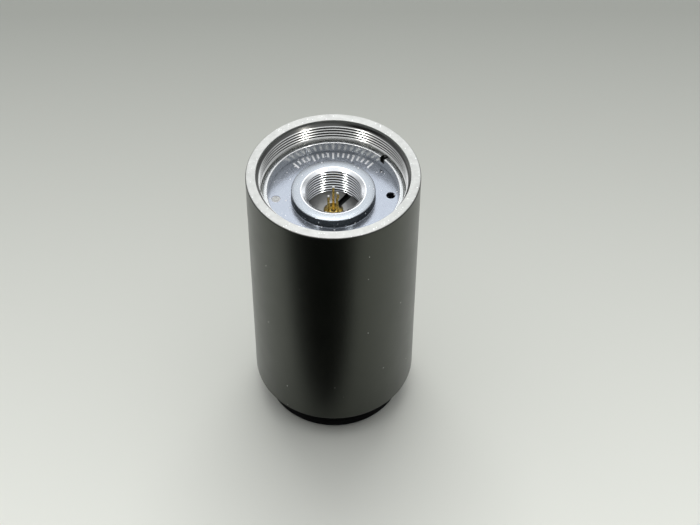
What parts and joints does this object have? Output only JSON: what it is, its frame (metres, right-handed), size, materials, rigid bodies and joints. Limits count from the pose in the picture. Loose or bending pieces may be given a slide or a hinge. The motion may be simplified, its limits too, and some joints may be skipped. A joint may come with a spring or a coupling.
{
  "type": "laser diode mount",
  "caption": "Threaded tube mount that clamps a laser diode in a plate inside its mouth, above a collimating lens in a focusing carrier.",
  "frame": {"origin": "centre of the nose thread's end face, on the tube's axis, where the mount stands on a table", "axes": "+Z along the tube's axis from the nose to the mouth, +X towards the spanner hole that lies about 2 degrees from it"},
  "size_m": [0.0304, 0.0304, 0.0563],
  "materials": {
    "black_anodised": "satin black anodised",
    "plate_anodised": "fine turned, grey anodised",
    "ring_metal": "turned and polished",
    "gold_plate": "bright gold plating",
    "copper": "bright copper",
    "can_metal": "nickel plated",
    "window_glass": "clear, coated",
    "lens_glass": "moulded, coated",
    "seal_glass": "dark glass",
    "ceramic": "sintered",
    "laser_crystal": "cleaved and polished",
    "silicon": "polished",
    "cell_metal": "turned",
    "drag_polymer": "moulded"
  },
  "bodies": {
    "housing": {"housing_tube": "black_anodised", "diode_plate": "plate_anodised", "diode_header": "gold_plate", "heat_sink_post": "copper", "diode_cap": "can_metal", "cap_window": "window_glass", "laser_submount": "ceramic", "laser_chip": "laser_crystal", "monitor_photodiode": "silicon", "common_lead": "gold_plate", "laser_lead": "gold_plate", "monitor_lead": "gold_plate", "laser_lead_seal": "seal_glass", "monitor_lead_seal": "seal_glass"},
    "lock_ring": {"lock_ring": "ring_metal"},
    "clamp_ring": {"diode_clamp_ring": "ring_metal"},
    "lens_carrier": {"lens_carrier": "black_anodised", "lens_cell": "cell_metal", "collimating_lens": "lens_glass", "focus_drag_ring": "drag_polymer"}
  },
  "joints": [
    {"name": "lock_ring_unscrew", "type": "slide", "parent": "housing", "child": "lock_ring", "axis": [0, 0, 1], "range_m": [0, 0.004]},
    {"name": "clamp_ring_unscrew", "type": "slide", "parent": "housing", "child": "clamp_ring", "axis": [0, 0, 1], "range_m": [0, 0.0045]},
    {"name": "lens_focus", "type": "slide", "parent": "housing", "child": "lens_carrier", "axis": [0, 0, 1], "range_m": [-0.001, 0.001]}
  ]
}
